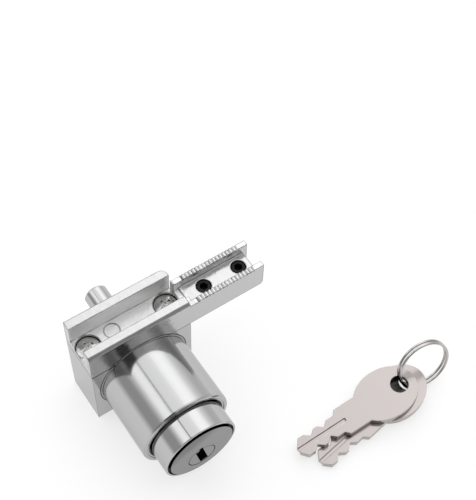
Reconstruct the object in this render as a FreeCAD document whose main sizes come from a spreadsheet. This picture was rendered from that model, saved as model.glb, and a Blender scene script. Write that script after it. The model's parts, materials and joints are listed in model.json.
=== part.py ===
import FreeCAD, Part
import Sketcher
import math
import os
import re

doc = FreeCAD.newDocument("slide_lock")

# Sizes in millimetres and degrees. X runs along the glass channel, Y towards the bolt's tip,
# Z up from the block's base. Heights of the turned pieces are taken from the bolt's axis.
SIZES = [
    ("block_half_length", 15.5),
    ("block_half_depth", 6.8),
    ("seam_height", 23.4),
    ("barrel_radius", 13.3),
    ("axis_height", "=barrel_radius"),
    ("barrel_length", 21.8),
    ("barrel_front", "=-block_half_depth - barrel_length"),
    ("barrel_rim_round", 0.7),
    ("run_gap", 0.05),
    ("seat_gap", 0.1),
    ("barrel_bore", "=sleeve_radius + run_gap"),
    ("mouth_step_radius", "=barrel_radius - 1.25"),
    ("mouth_step", 0.25),
    ("mouth_radius", "=barrel_bore + 0.45"),
    ("mouth_depth", 1.6),
    ("block_bore", 8.0),
    ("block_bore_end", 2.3),
    ("arch_radius", "=barrel_radius + 0.35"),
    ("arch_depth", 1.2),
    ("seam_gap", 0.15),
    ("catch_half_width", 2.8),
    ("catch_front", -11.2),
    ("catch_rear", -8.5),
    ("catch_reach", "=barrel_radius - 0.9"),
    ("channel_floor", "=seam_height + 3.7"),
    ("wall_height", "=seam_height + 10"),
    ("front_lip_inner", -3.7),
    ("rear_wall_inner", 4.1),
    ("lip_slope_tall", 0.75),
    ("lip_slope_deep", 0.75),
    ("rear_corner_round", 2.0),
    ("arm_end", "=block_half_length + 23.9"),
    ("arm_rear", 3.0),
    ("arm_top", "=seam_height + 9"),
    ("arm_corner_round", 1.2),
    ("arm_start", "=block_half_length - 0.4"),
    ("step_end", "=block_half_length + 1.2"),
    ("pocket_front", -5.15),
    ("pocket_rear", 1.4),
    ("pocket_floor", "=seam_height + 6.1"),
    ("step_top", "=pocket_floor - 0.4"),
    ("pocket_end", "=arm_end - 1.5"),
    ("low_lip_end", "=step_end + 1.5"),
    ("low_lip_drop", 0.3),
    ("tooth_spacing", 1.1),
    ("tooth_depth", 0.4),
    ("tooth_wide", 0.6),
    ("tooth_count", 17),
    ("dimple_x", -4.5),
    ("dimple_y", 1.1),
    ("dimple_radius", 2.2),
    ("dimple_depth", 0.3),
    ("left_screw_x", -12.2),
    ("right_screw_x", 11.9),
    ("bracket_screw_y", 0.2),
    ("bracket_head_radius", 3.1),
    ("bracket_head_tall", 1.5),
    ("head_seat", "=seam_height + 2.1"),
    ("bracket_head_top", "=head_seat + bracket_head_tall"),
    ("bracket_head_round", 0.45),
    ("head_sink_radius", 3.6),
    ("shank_radius", 1.7),
    ("shank_clear_radius", 2.0),
    ("shank_tip", "=seam_height - 9.9"),
    ("cross_half_span", 1.75),
    ("cross_half_width", 0.4),
    ("cross_depth", 0.9),
    ("clamp_inner_x", "=block_half_length + 7.4"),
    ("clamp_outer_x", "=block_half_length + 18.8"),
    ("clamp_screw_y", "=(pocket_front + pocket_rear) / 2"),
    ("clamp_radius", 2.15),
    ("clamp_bottom", "=seam_height + seat_gap"),
    ("clamp_top", "=pocket_floor - seat_gap"),
    ("clamp_rim_slope", 0.4),
    ("hex_radius", 1.3),
    ("hex_depth", 2.4),
    ("stop_screw_y", -16.6),
    ("stop_body_radius", 1.25),
    ("stop_tip_radius", 1.0),
    ("stop_head", "=0.3 - barrel_radius"),
    ("stop_shoulder", "=-barrel_bore - 0.15"),
    ("stop_tip", "=-stop_way_reach - 0.3"),
    ("stop_slot_half_width", 0.25),
    ("stop_slot_depth", 0.6),
    ("sleeve_radius", 11.0),
    ("sleeve_stand_out", 7.1),
    ("sleeve_front", "=barrel_front - sleeve_stand_out"),
    ("sleeve_rear", -14.0),
    ("sleeve_rim_round", 0.3),
    ("disc_seat_radius", "=sleeve_radius - 0.6"),
    ("disc_radius", "=disc_seat_radius - run_gap"),
    ("disc_face_radius", "=disc_seat_radius - 0.45"),
    ("disc_front", "=sleeve_front + 0.05"),
    ("disc_step", "=disc_front + 0.85"),
    ("disc_rear", "=disc_front + 1.45"),
    ("disc_hole", "=nose_radius + seat_gap"),
    ("plug_bore", "=plug_radius + 0.08"),
    ("boss_radius", 7.4),
    ("boss_rear", -9.0),
    ("tail_hole", "=bolt_shank_radius + run_gap"),
    ("tail_hole_front", -14.6),
    ("stop_way_front", "=stop_screw_y - 8.1"),
    ("stop_way_rear", "=stop_screw_y + 1.1"),
    ("stop_way_half_width", "=stop_tip_radius + seat_gap"),
    ("stop_way_reach", "=sleeve_radius - 1.5"),
    ("wafer_way_half_width", 4.3),
    ("wafer_way_reach", "=wafer_radius + 0.75"),
    ("wafer_way_front", "=wafer_first - 1"),
    ("wafer_way_rear", "=wafer_first + 4 * wafer_spacing + 1"),
    ("tongue_way_front", "=tongue_front - seat_gap"),
    ("tongue_way_rear", "=tongue_rear + seat_gap"),
    ("tongue_way_half_width", "=tongue_half_width + seat_gap"),
    ("tongue_way_foot", -9.0),
    ("bolt_radius", 3.5),
    ("bolt_side", 0.9),
    ("bolt_hole_gap", 0.06),
    ("bolt_guide_radius", "=bolt_radius - 0.25"),
    ("bolt_guide_end", "=block_half_depth + 0.1"),
    ("bolt_tip", "=block_half_depth + 15.1"),
    ("bolt_tip_slope", 0.6),
    ("bolt_shank_radius", 2.4),
    ("bolt_shank_front", -14.4),
    ("plug_drop", -3.0),
    ("keyway_angle", 12.0),
    ("nose_radius", 4.0),
    ("plug_radius", 5.6),
    ("plug_front", "=disc_rear + seat_gap"),
    ("plug_rear", -19.9),
    ("plug_tail_radius", 2.0),
    ("plug_tail_rear", "=cam_bore_end - run_gap"),
    ("keyway_half_width", 1.2),
    ("keyway_half_tall", "=blade_half_width + 0.15"),
    ("keyway_end", "=plug_rear - seat_gap"),
    ("wafer_first", -32.0),
    ("wafer_spacing", 2.4),
    ("wafer_slot", 1.1),
    ("wafer_thick", 1.0),
    ("wafer_radius", "=plug_radius - 0.04"),
    ("wafer_half_width", "=wafer_slot_half_width - seat_gap"),
    ("wafer_slot_half_width", 4.25),
    ("wafer_window_half_width", "=keyway_half_width + 0.2"),
    ("wafer_window_half_tall", "=keyway_half_tall + 0.35"),
    ("cam_radius", 5.5),
    ("cam_front", "=plug_rear + seat_gap"),
    ("cam_rear", "=cam_front + 1.7"),
    ("cam_bore_end", "=cam_rear - 0.8"),
    ("cam_pin_radius", 0.7),
    ("cam_pin_offset", 1.2),
    ("cam_pin_rear", -15.8),
    ("tongue_front", "=cam_rear + 0.15"),
    ("tongue_rear", -15.75),
    ("tongue_half_width", 2.5),
    ("tongue_foot", "=plug_drop - 1.7"),
    ("tongue_top", "=sleeve_radius - 0.35"),
    ("cam_slot_left", "=-cam_pin_radius - 0.15"),
    ("cam_slot_right", "=cam_pin_offset + cam_pin_radius + 0.15"),
    ("cam_slot_half_tall", "=cam_pin_radius + 0.3"),
    ("return_spring_radius", 5.4),
    ("return_wire", 0.8),
    ("return_turns", 3.75),
    ("spring_end_gap", 0.05),
    ("tongue_spring_radius", 0.85),
    ("tongue_wire", 0.4),
    ("tongue_spring_turns", 4.25),
    ("key_thick", 1.9),
    ("bow_length", 20.0),
    ("bow_width", 15.0),
    ("bow_hole_radius", 2.6),
    ("bow_hole_x", -4.9),
    ("neck_half_width", 4.25),
    ("neck_end", 15.2),
    ("blade_start", 16.4),
    ("blade_half_width", 2.9),
    ("first_cut_start", 18.9),
    ("first_cut_end", 20.3),
    ("cut_half_width", 1.6),
    ("tooth_start", 22.0),
    ("tooth_end", 23.2),
    ("second_cut", 24.8),
    ("head_start", 26.4),
    ("head_end", 28.4),
    ("key_tip", 30.0),
    ("key_tip_half_width", 0.9),
    ("key_groove_half_width", 0.55),
    ("key_groove_depth", 0.5),
    ("key_groove_start", 14.0),
    ("lower_hole_x", 62.8),
    ("lower_hole_y", -47.45),
    ("lower_hole_z", 2.34),
    ("lower_key_angle", -171.5),
    ("key_slope_angle", 3.8),
    ("upper_key_along", 3.14),
    ("upper_key_across", -0.62),
    ("upper_key_angle", -8.9),
    ("key_stack_gap", 0.12),
    ("ring_radius", 7.97),
    ("ring_wire", 0.8),
    ("ring_turn_spacing", 1.25),
    ("ring_turns", 2.0),
    ("ring_centre_x", 67.86),
    ("ring_centre_y", -47.18),
    ("ring_centre_z", 8.28),
    ("ring_turned_angle", 260.6),
    ("ring_lean_angle", 20.1),
    ("ring_first_angle", -147.9),
]

sheet = doc.addObject("Spreadsheet::Sheet", "sizes")
for row, (name, value) in enumerate(SIZES, start=1):
    sheet.set("A%d" % row, name)
    sheet.setAlias("B%d" % row, name)
for row, (name, value) in enumerate(SIZES, start=1):
    sheet.set("B%d" % row, str(value))
doc.recompute()

SIZE_NAMES = {name for name, value in SIZES}
nodes = []


def size(expression):
    return float(sheet.evalExpression(expression))


def bound(expression):
    # the same expression with each size looked up in the sheet
    def lookup(match):
        word = match.group(0)
        return "sizes." + word if word in SIZE_NAMES else word
    return re.sub(r"[a-z_][a-z_0-9]*", lookup, expression)


# Sketches and features

def new_body(label, z="0", x="0", y="0", lean="0"):
    # lean turns the body about Y, its top to the left
    body = doc.addObject("PartDesign::Body", label)
    body.Label = label
    body.Placement.Rotation = FreeCAD.Rotation(FreeCAD.Vector(0, -1, 0), size(lean))
    for axis, value in (("x", x), ("y", y), ("z", z)):
        body.setExpression("Placement.Base." + axis, bound(value))
    nodes.append(body)
    return body


def new_sketch(body, name, along, offset):
    # a sketch plane square to one axis: along Y its normal looks to the front
    role = {"x": "YZ_Plane", "y": "XZ_Plane", "z": "XY_Plane"}[along]
    sketch = body.newObject("Sketcher::SketchObject", name)
    plane = [part for part in body.Origin.OriginFeatures if part.Role == role][0]
    sketch.AttachmentSupport = [(plane, "")]
    sketch.MapMode = "FlatFace"
    sign = "-" if along == "y" else ""
    sketch.setExpression("AttachmentOffset.Base.z", bound("%s(%s)" % (sign, offset)))
    return sketch


def hold(sketch, kind, geometry, point, value):
    item = sketch.addConstraint(Sketcher.Constraint(kind, -1, 1, geometry, point, size(value)))
    sketch.setExpression("Constraints[%d]" % item, bound(value))


def polygon(sketch, corners):
    first = sketch.GeometryCount
    spots = [FreeCAD.Vector(size(u), size(v), 0) for u, v in corners]
    count = len(corners)
    for place in range(count):
        sketch.addGeometry(Part.LineSegment(spots[place], spots[(place + 1) % count]))
    for place in range(count):
        following = first + (place + 1) % count
        sketch.addConstraint(Sketcher.Constraint("Coincident", first + place, 2, following, 1))
    for place, (u, v) in enumerate(corners):
        hold(sketch, "DistanceX", first + place, 1, u)
        hold(sketch, "DistanceY", first + place, 1, v)


def rectangle(sketch, left, right, low, high):
    polygon(sketch, [(left, low), (right, low), (right, high), (left, high)])


def leaning_rectangle(sketch, middle, half_width, half_tall, angle):
    # centred at height middle, its top leaning to the left
    corners = []
    for across, along in ((-1, -1), (1, -1), (1, 1), (-1, 1)):
        corners.append(("%d * %s * cos(%s) - %d * %s * sin(%s)"
                        % (across, half_width, angle, along, half_tall, angle),
                        "%s + %d * %s * sin(%s) + %d * %s * cos(%s)"
                        % (middle, across, half_width, angle, along, half_tall, angle)))
    polygon(sketch, corners)


def circle(sketch, u, v, radius):
    centre = FreeCAD.Vector(size(u), size(v), 0)
    item = sketch.addGeometry(Part.Circle(centre, FreeCAD.Vector(0, 0, 1), size(radius)))
    hold(sketch, "DistanceX", item, 3, u)
    hold(sketch, "DistanceY", item, 3, v)
    rim = sketch.addConstraint(Sketcher.Constraint("Radius", item, size(radius)))
    sketch.setExpression("Constraints[%d]" % rim, bound(radius))


def cap(sketch, middle, radius, level):
    # the part of a disc above a level, its centre at height middle
    across = math.sqrt(size(radius) ** 2 - (size(level) - size(middle)) ** 2)
    start = math.atan2(size(level) - size(middle), across)
    centre = FreeCAD.Vector(0, size(middle), 0)
    rim = Part.Circle(centre, FreeCAD.Vector(0, 0, 1), size(radius))
    sketch.addGeometry(Part.ArcOfCircle(rim, start, math.pi - start))
    sketch.addGeometry(Part.LineSegment(FreeCAD.Vector(-across, size(level), 0),
                                        FreeCAD.Vector(across, size(level), 0)))
    hold(sketch, "DistanceX", 0, 3, "0")
    hold(sketch, "DistanceY", 0, 3, middle)
    sketch.addConstraint(Sketcher.Constraint("Coincident", 0, 2, 1, 1))
    sketch.addConstraint(Sketcher.Constraint("Coincident", 1, 2, 0, 1))
    sketch.addConstraint(Sketcher.Constraint("Horizontal", 1))
    hold(sketch, "DistanceY", 1, 1, level)
    reach = sketch.addConstraint(Sketcher.Constraint("Radius", 0, size(radius)))
    sketch.setExpression("Constraints[%d]" % reach, bound(radius))


def grow(body, name, along, low, high, draw):
    # material between two planes square to the axis
    start = high if along == "y" else low
    sketch = new_sketch(body, name + "_sketch", along, start)
    draw(sketch)
    pad = body.newObject("PartDesign::Pad", name)
    pad.Profile = sketch
    pad.setExpression("Length", bound("(%s) - (%s)" % (high, low)))
    return pad


def cut(body, name, along, low, high, draw):
    # a pocket runs against its sketch's normal
    start = low if along == "y" else high
    sketch = new_sketch(body, name + "_sketch", along, start)
    draw(sketch)
    pocket = body.newObject("PartDesign::Pocket", name)
    pocket.Profile = sketch
    pocket.setExpression("Length", bound("(%s) - (%s)" % (high, low)))
    return pocket


def turn(body, name, corners, kind="PartDesign::Revolution", upright=False):
    # corners are (place along the axis, radius); the axis is Y, or Z where upright
    sketch = new_sketch(body, name + "_sketch", "y" if upright else "x", "0")
    if upright:
        polygon(sketch, [(radius, place) for place, radius in corners])
    else:
        polygon(sketch, corners)
    feature = body.newObject(kind, name)
    feature.Profile = sketch
    feature.ReferenceAxis = (sketch, ["V_Axis" if upright else "H_Axis"])
    feature.Angle = 360
    return feature


def groove(body, name, corners, upright=False):
    return turn(body, name, corners, "PartDesign::Groove", upright)


def soften(body, name, kind, value, wanted):
    # a fillet or chamfer on the edges whose middle the test accepts
    doc.recompute()
    base = body.Tip
    edges = ["Edge%d" % (place + 1) for place, edge in enumerate(base.Shape.Edges) if wanted(edge)]
    feature = body.newObject("PartDesign::" + kind, name)
    feature.Base = (base, edges)
    feature.setExpression("Radius" if kind == "Fillet" else "Size", bound(value))
    return feature


def near(number, expression):
    return abs(number - size(expression)) < 0.01


# Cast body

def make_lock_body():
    body = new_body("lock_body", "axis_height")
    grow(body, "block", "y", "-block_half_depth", "block_half_depth",
         lambda sketch: rectangle(sketch, "-block_half_length", "block_half_length",
                                  "-axis_height", "seam_height - axis_height"))
    grow(body, "arch", "y", "-block_half_depth", "arch_depth - block_half_depth",
         lambda sketch: cap(sketch, "0", "arch_radius", "seam_height - axis_height - 1"))
    turn(body, "barrel", [("-block_half_depth", "0"), ("-block_half_depth", "barrel_radius"),
                          ("barrel_front + barrel_rim_round", "barrel_radius"),
                          ("barrel_front + 0.3 * barrel_rim_round",
                           "barrel_radius - 0.3 * barrel_rim_round"),
                          ("barrel_front", "barrel_radius - barrel_rim_round"),
                          ("barrel_front", "0")])
    groove(body, "bores", [("barrel_front - 1", "0"), ("barrel_front - 1", "mouth_step_radius"),
                           ("barrel_front + mouth_step", "mouth_step_radius"),
                           ("barrel_front + mouth_step", "mouth_radius"),
                           ("barrel_front + mouth_depth", "mouth_radius"),
                           ("barrel_front + mouth_depth", "barrel_bore"),
                           ("-block_half_depth", "barrel_bore"), ("-block_half_depth", "block_bore"),
                           ("block_bore_end", "block_bore"), ("block_bore_end", "0")])
    cut(body, "bolt_hole", "y", "block_bore_end - 1", "block_half_depth + 1",
        lambda sketch: circle(sketch, "bolt_side", "0", "bolt_guide_radius + bolt_hole_gap"))
    cut(body, "tongue_catch", "y", "catch_front", "catch_rear",
        lambda sketch: rectangle(sketch, "-catch_half_width", "catch_half_width",
                                 "barrel_bore - 1", "catch_reach"))
    cut(body, "stop_screw_hole", "z", "-axis_height - 1", "-barrel_bore + 1",
        lambda sketch: circle(sketch, "0", "stop_screw_y", "stop_body_radius + run_gap"))
    for side in ("left", "right"):
        cut(body, side + "_thread", "z", "shank_tip - 0.4 - axis_height", "seam_height - axis_height",
            lambda sketch: circle(sketch, side + "_screw_x", "bracket_screw_y",
                                  "shank_radius + run_gap"))
    return body


# Bracket on top, with its glass channel and its toothed arm

def make_glass_bracket():
    body = new_body("glass_bracket")
    grow(body, "channel_block", "x", "-block_half_length", "block_half_length",
         lambda sketch: polygon(sketch, [
             ("-block_half_depth", "seam_height"), ("block_half_depth", "seam_height"),
             ("block_half_depth", "wall_height"), ("rear_wall_inner", "wall_height"),
             ("rear_wall_inner", "channel_floor"), ("front_lip_inner", "channel_floor"),
             ("front_lip_inner", "wall_height"), ("-block_half_depth + lip_slope_deep", "wall_height"),
             ("-block_half_depth", "wall_height - lip_slope_tall")]))
    soften(body, "seam_edge", "Chamfer", "seam_gap",
           lambda edge: near(edge.BoundBox.ZMax, "seam_height")
           and not near(edge.BoundBox.XMin, "block_half_length"))
    cut(body, "arch_seat", "y", "-block_half_depth - 1", "arch_depth + seam_gap - block_half_depth",
        lambda sketch: cap(sketch, "axis_height", "arch_radius + seam_gap", "seam_height - 1"))
    soften(body, "rear_corner", "Fillet", "rear_corner_round",
           lambda edge: edge.BoundBox.ZLength > 5 and near(edge.BoundBox.XMin, "block_half_length")
           and near(edge.BoundBox.YMin, "block_half_depth"))
    grow(body, "arm", "z", "seam_height", "arm_top",
         lambda sketch: rectangle(sketch, "arm_start", "arm_end", "-block_half_depth", "arm_rear"))
    soften(body, "arm_corner", "Fillet", "arm_corner_round",
           lambda edge: near(edge.BoundBox.XMin, "arm_end") and near(edge.BoundBox.ZMax, "seam_height"))
    cut(body, "arm_pocket", "z", "pocket_floor", "arm_top + 1",
        lambda sketch: rectangle(sketch, "step_end", "arm_end + 1", "pocket_front", "pocket_rear"))
    cut(body, "arm_step", "z", "step_top", "arm_top + 2",
        lambda sketch: rectangle(sketch, "arm_start - 1", "step_end", "front_lip_inner", "pocket_rear"))
    cut(body, "arm_end_gap", "z", "seam_height - 1", "pocket_floor + 1",
        lambda sketch: rectangle(sketch, "pocket_end", "arm_end + 1", "pocket_front", "pocket_rear"))
    cut(body, "low_lips", "z", "arm_top - low_lip_drop", "arm_top + 1",
        lambda sketch: rectangle(sketch, "block_half_length", "low_lip_end",
                                 "-block_half_depth - 1", "arm_rear + 1"))
    tooth = cut(body, "tooth_gap", "y", "-block_half_depth - 1", "arm_rear + 1",
                lambda sketch: polygon(sketch, [
                    ("low_lip_end", "arm_top + 0.01"), ("low_lip_end + tooth_wide", "arm_top + 0.01"),
                    ("low_lip_end + tooth_wide / 2", "arm_top - tooth_depth")]))
    teeth = body.newObject("PartDesign::LinearPattern", "teeth")
    teeth.Originals = [tooth]
    axis = [part for part in body.Origin.OriginFeatures if part.Role == "X_Axis"][0]
    teeth.Direction = (axis, [""])
    teeth.setExpression("Length", bound("tooth_spacing * (tooth_count - 1)"))
    teeth.setExpression("Occurrences", bound("tooth_count"))
    body.Tip = teeth
    doc.recompute()
    for side in ("left", "right"):
        cut(body, side + "_head_sink", "z", "head_seat", "channel_floor + 1",
            lambda sketch: circle(sketch, side + "_screw_x", "bracket_screw_y", "head_sink_radius"))
        cut(body, side + "_shank_hole", "z", "seam_height - 1", "head_seat + 1",
            lambda sketch: circle(sketch, side + "_screw_x", "bracket_screw_y", "shank_clear_radius"))
    for side in ("inner", "outer"):
        cut(body, side + "_clamp_thread", "z", "seam_height - 1", "pocket_floor + 1",
            lambda sketch: circle(sketch, "clamp_%s_x" % side, "clamp_screw_y", "clamp_radius + run_gap"))
    cut(body, "dimple", "z", "channel_floor - dimple_depth", "channel_floor + 1",
        lambda sketch: circle(sketch, "dimple_x", "dimple_y", "dimple_radius"))
    return body


# Screws

def make_bracket_screw(side):
    body = new_body("bracket_screw_" + side, "0", side + "_screw_x", "bracket_screw_y")
    turn(body, "screw_" + side, [
        ("shank_tip", "0"), ("shank_tip", "shank_radius - 0.5"), ("shank_tip + 0.5", "shank_radius"),
        ("head_seat", "shank_radius"), ("head_seat", "bracket_head_radius"),
        ("bracket_head_top - bracket_head_round", "bracket_head_radius"),
        ("bracket_head_top - 0.3 * bracket_head_round",
         "bracket_head_radius - 0.3 * bracket_head_round"),
        ("bracket_head_top", "bracket_head_radius - bracket_head_round"),
        ("bracket_head_top", "0")], upright=True)
    for name, half_x, half_y in (("cross_a_", "cross_half_span", "cross_half_width"),
                                 ("cross_b_", "cross_half_width", "cross_half_span")):
        arm = cut(body, name + side, "z", "bracket_head_top - cross_depth", "bracket_head_top",
                  lambda sketch: rectangle(sketch, "-" + half_x, half_x, "-" + half_y, half_y))
        arm.TaperAngle = -12
    return body


def hexagon(sketch, radius):
    corners = []
    for corner in range(6):
        angle = 60 * corner
        corners.append(("%s * cos(%d)" % (radius, angle), "%s * sin(%d)" % (radius, angle)))
    polygon(sketch, corners)


def make_clamp_screw(side):
    body = new_body("clamp_screw_" + side, "0", "clamp_%s_x" % side, "clamp_screw_y")
    turn(body, "grub_" + side, [
        ("clamp_bottom", "0"), ("clamp_bottom", "clamp_radius - clamp_rim_slope"),
        ("clamp_bottom + clamp_rim_slope", "clamp_radius"),
        ("clamp_top - clamp_rim_slope", "clamp_radius"),
        ("clamp_top", "clamp_radius - clamp_rim_slope"), ("clamp_top", "0")], upright=True)
    cut(body, "socket_" + side, "z", "clamp_top - hex_depth", "clamp_top",
        lambda sketch: hexagon(sketch, "hex_radius"))
    return body


def make_travel_stop_screw():
    body = new_body("travel_stop_screw", "axis_height", "0", "stop_screw_y")
    turn(body, "stop_screw", [
        ("stop_head", "0"), ("stop_head", "stop_body_radius"), ("stop_shoulder", "stop_body_radius"),
        ("stop_shoulder", "stop_tip_radius"), ("stop_tip", "stop_tip_radius"), ("stop_tip", "0")],
         upright=True)
    cut(body, "driver_slot", "z", "stop_head - 1", "stop_head + stop_slot_depth",
        lambda sketch: rectangle(sketch, "-stop_body_radius - 1", "stop_body_radius + 1",
                                 "-stop_slot_half_width", "stop_slot_half_width"))
    return body


# Push cylinder, its disc and its bolt

def make_push_cylinder():
    body = new_body("push_cylinder", "axis_height")
    turn(body, "sleeve", [
        ("sleeve_front", "0"), ("sleeve_front", "sleeve_radius - sleeve_rim_round"),
        ("sleeve_front + 0.3 * sleeve_rim_round", "sleeve_radius - 0.3 * sleeve_rim_round"),
        ("sleeve_front + sleeve_rim_round", "sleeve_radius"), ("sleeve_rear", "sleeve_radius"),
        ("sleeve_rear", "boss_radius"), ("boss_rear", "boss_radius"), ("boss_rear", "0")])
    groove(body, "front_bores", [
        ("sleeve_front - 1", "0"), ("sleeve_front - 1", "disc_seat_radius"),
        ("disc_rear", "disc_seat_radius"), ("disc_rear", "0")])
    cut(body, "plug_way", "y", "disc_rear - 0.5", "tongue_way_front",
        lambda sketch: circle(sketch, "0", "plug_drop", "plug_bore"))
    cut(body, "tail_bore", "y", "tail_hole_front", "boss_rear + 1",
        lambda sketch: circle(sketch, "bolt_side", "0", "tail_hole"))
    cut(body, "stop_way", "y", "stop_way_front", "stop_way_rear",
        lambda sketch: rectangle(sketch, "-stop_way_half_width", "stop_way_half_width",
                                 "-sleeve_radius - 1", "-stop_way_reach"))
    cut(body, "wafer_ways", "y", "wafer_way_front", "wafer_way_rear",
        lambda sketch: leaning_rectangle(sketch, "plug_drop", "wafer_way_half_width",
                                         "wafer_way_reach", "keyway_angle"))
    cut(body, "tongue_way", "y", "tongue_way_front", "tongue_way_rear",
        lambda sketch: rectangle(sketch, "-tongue_way_half_width", "tongue_way_half_width",
                                 "tongue_way_foot", "sleeve_radius + 1"))
    return body


def make_face_disc():
    body = new_body("face_disc", "axis_height")
    turn(body, "disc", [
        ("disc_front", "0"), ("disc_front", "disc_face_radius"), ("disc_step", "disc_face_radius"),
        ("disc_step", "disc_radius"), ("disc_rear", "disc_radius"), ("disc_rear", "0")])
    cut(body, "nose_hole", "y", "disc_front - 1", "disc_rear + 1",
        lambda sketch: circle(sketch, "0", "plug_drop", "disc_hole"))
    return body


def make_bolt_pin():
    body = new_body("bolt_pin", "axis_height", "bolt_side")
    turn(body, "bolt", [
        ("bolt_shank_front", "0"), ("bolt_shank_front", "bolt_shank_radius"),
        ("boss_rear", "bolt_shank_radius"), ("boss_rear", "bolt_guide_radius"),
        ("bolt_guide_end", "bolt_guide_radius"), ("bolt_guide_end", "bolt_radius"),
        ("bolt_tip - bolt_tip_slope", "bolt_radius"),
        ("bolt_tip", "bolt_radius - bolt_tip_slope"),
        ("bolt_tip", "0")])
    return body


# Key plug with its wafers, cam and locking tongue

def wafer_place(number):
    return "wafer_first + %d * wafer_spacing" % (number - 1)


def make_key_plug():
    body = new_body("key_plug", "axis_height + plug_drop", lean="keyway_angle")
    turn(body, "plug", [
        ("disc_front", "0"), ("disc_front", "nose_radius"), ("plug_front", "nose_radius"),
        ("plug_front", "plug_radius"), ("plug_rear", "plug_radius"),
        ("plug_rear", "plug_tail_radius"), ("plug_tail_rear", "plug_tail_radius"),
        ("plug_tail_rear", "0")])
    cut(body, "keyway", "y", "disc_front - 1", "keyway_end",
        lambda sketch: rectangle(sketch, "-keyway_half_width", "keyway_half_width",
                                 "-keyway_half_tall", "keyway_half_tall"))
    for number in range(1, 6):
        middle = wafer_place(number)
        cut(body, "wafer_slot_%d" % number, "y", middle + " - wafer_slot / 2",
            middle + " + wafer_slot / 2",
            lambda sketch: rectangle(sketch, "-wafer_slot_half_width", "wafer_slot_half_width",
                                     "-plug_radius - 1", "plug_radius + 1"))
    return body


def make_wafer(number):
    body = new_body("wafer_%d" % number, "axis_height + plug_drop", lean="keyway_angle")
    middle = wafer_place(number)
    front = middle + " - wafer_thick / 2"
    rear = middle + " + wafer_thick / 2"
    grow(body, "wafer_disc_%d" % number, "y", front, rear,
         lambda sketch: circle(sketch, "0", "0", "wafer_radius"))
    for side, inner, outer in (("a", "-wafer_radius - 1", "-wafer_half_width"),
                               ("b", "wafer_half_width", "wafer_radius + 1")):
        cut(body, "wafer_flat_%s_%d" % (side, number), "y", front, rear,
            lambda sketch: rectangle(sketch, inner, outer, "-wafer_radius - 1", "wafer_radius + 1"))
    cut(body, "wafer_window_%d" % number, "y", front, rear,
        lambda sketch: rectangle(sketch, "-wafer_window_half_width", "wafer_window_half_width",
                                 "-wafer_window_half_tall", "wafer_window_half_tall"))
    return body


def make_plug_cam():
    body = new_body("plug_cam", "axis_height + plug_drop")
    grow(body, "cam_disc", "y", "cam_front", "cam_rear",
         lambda sketch: circle(sketch, "0", "0", "cam_radius"))
    cut(body, "cam_bore", "y", "cam_front - 1", "cam_bore_end",
        lambda sketch: circle(sketch, "0", "0", "plug_tail_radius"))
    grow(body, "cam_pin", "y", "cam_bore_end", "cam_pin_rear",
         lambda sketch: circle(sketch, "cam_pin_offset", "0", "cam_pin_radius"))
    return body


def make_locking_tongue():
    body = new_body("locking_tongue", "axis_height")
    grow(body, "tongue", "y", "tongue_front", "tongue_rear",
         lambda sketch: rectangle(sketch, "-tongue_half_width", "tongue_half_width",
                                  "tongue_foot", "tongue_top"))
    cut(body, "cam_slot", "y", "tongue_front - 1", "tongue_rear + 1",
        lambda sketch: rectangle(sketch, "cam_slot_left", "cam_slot_right",
                                 "plug_drop - cam_slot_half_tall", "plug_drop + cam_slot_half_tall"))
    return body


# Wound wire: each half turn is two arcs that meet on one tangent

def arc_between(start, corner, end):
    half = (end - start) * 0.5
    to_corner = corner - (start + half)
    lean = math.atan2(to_corner.Length, half.Length)
    middle = start + half + to_corner.normalize() * (half.Length * math.tan(lean / 2))
    return Part.Arc(start, middle, end).toShape()


def two_arcs(start, start_way, end, end_way):
    span = end - start
    both = start_way + end_way
    square = 2 * (1 - start_way.dot(end_way))
    reach = (-span.dot(both) + math.sqrt(span.dot(both) ** 2 + square * span.dot(span))) / square
    first_corner = start + start_way * reach
    last_corner = end - end_way * reach
    joint = (first_corner + last_corner) * 0.5
    return [arc_between(start, first_corner, joint), arc_between(joint, last_corner, end)]


def wound_wire(label, radius, pitch, turns, wire, placement, first_angle=0):
    # a coil round local Z, centred on the origin, with straight ends one wire thick
    rise = pitch / (2 * math.pi)
    slant = math.hypot(radius, rise)
    total = 2 * math.pi * turns
    start_angle = math.radians(first_angle)

    def spot(angle):
        turned = start_angle + angle
        return FreeCAD.Vector(radius * math.cos(turned), radius * math.sin(turned),
                              rise * (angle - total / 2))

    def way(angle):
        turned = start_angle + angle
        return FreeCAD.Vector(-radius * math.sin(turned), radius * math.cos(turned), rise) * (1 / slant)

    quarters = int(round(turns * 4))
    angles = [total * place / quarters for place in range(quarters + 1)]
    begin = spot(0) - way(0) * wire
    finish = spot(total) + way(total) * wire
    edges = [Part.makeLine(begin, spot(0))]
    for low, high in zip(angles, angles[1:]):
        edges += two_arcs(spot(low), way(low), spot(high), way(high))
    edges.append(Part.makeLine(spot(total), finish))
    path = Part.Wire(edges)
    section = Part.Wire(Part.makeCircle(wire / 2, begin, way(0)))
    solid = path.makePipeShell([section], True, False)
    print(label, "least gap between its turns", round(least_gap(path, radius, wire), 2), "mm")
    node = doc.addObject("Part::Feature", label)
    node.Shape = solid
    node.Placement = placement
    node.Label = label
    nodes.append(node)
    return node


def least_gap(path, radius, wire):
    # points more than half a turn apart along the wire
    spacing = 0.1 * radius
    points = path.discretize(Distance=spacing)
    apart = int(math.pi * radius / spacing)
    gap = min(a.distanceToPoint(b) for place, a in enumerate(points) for b in points[place + apart:])
    return gap - wire


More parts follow.
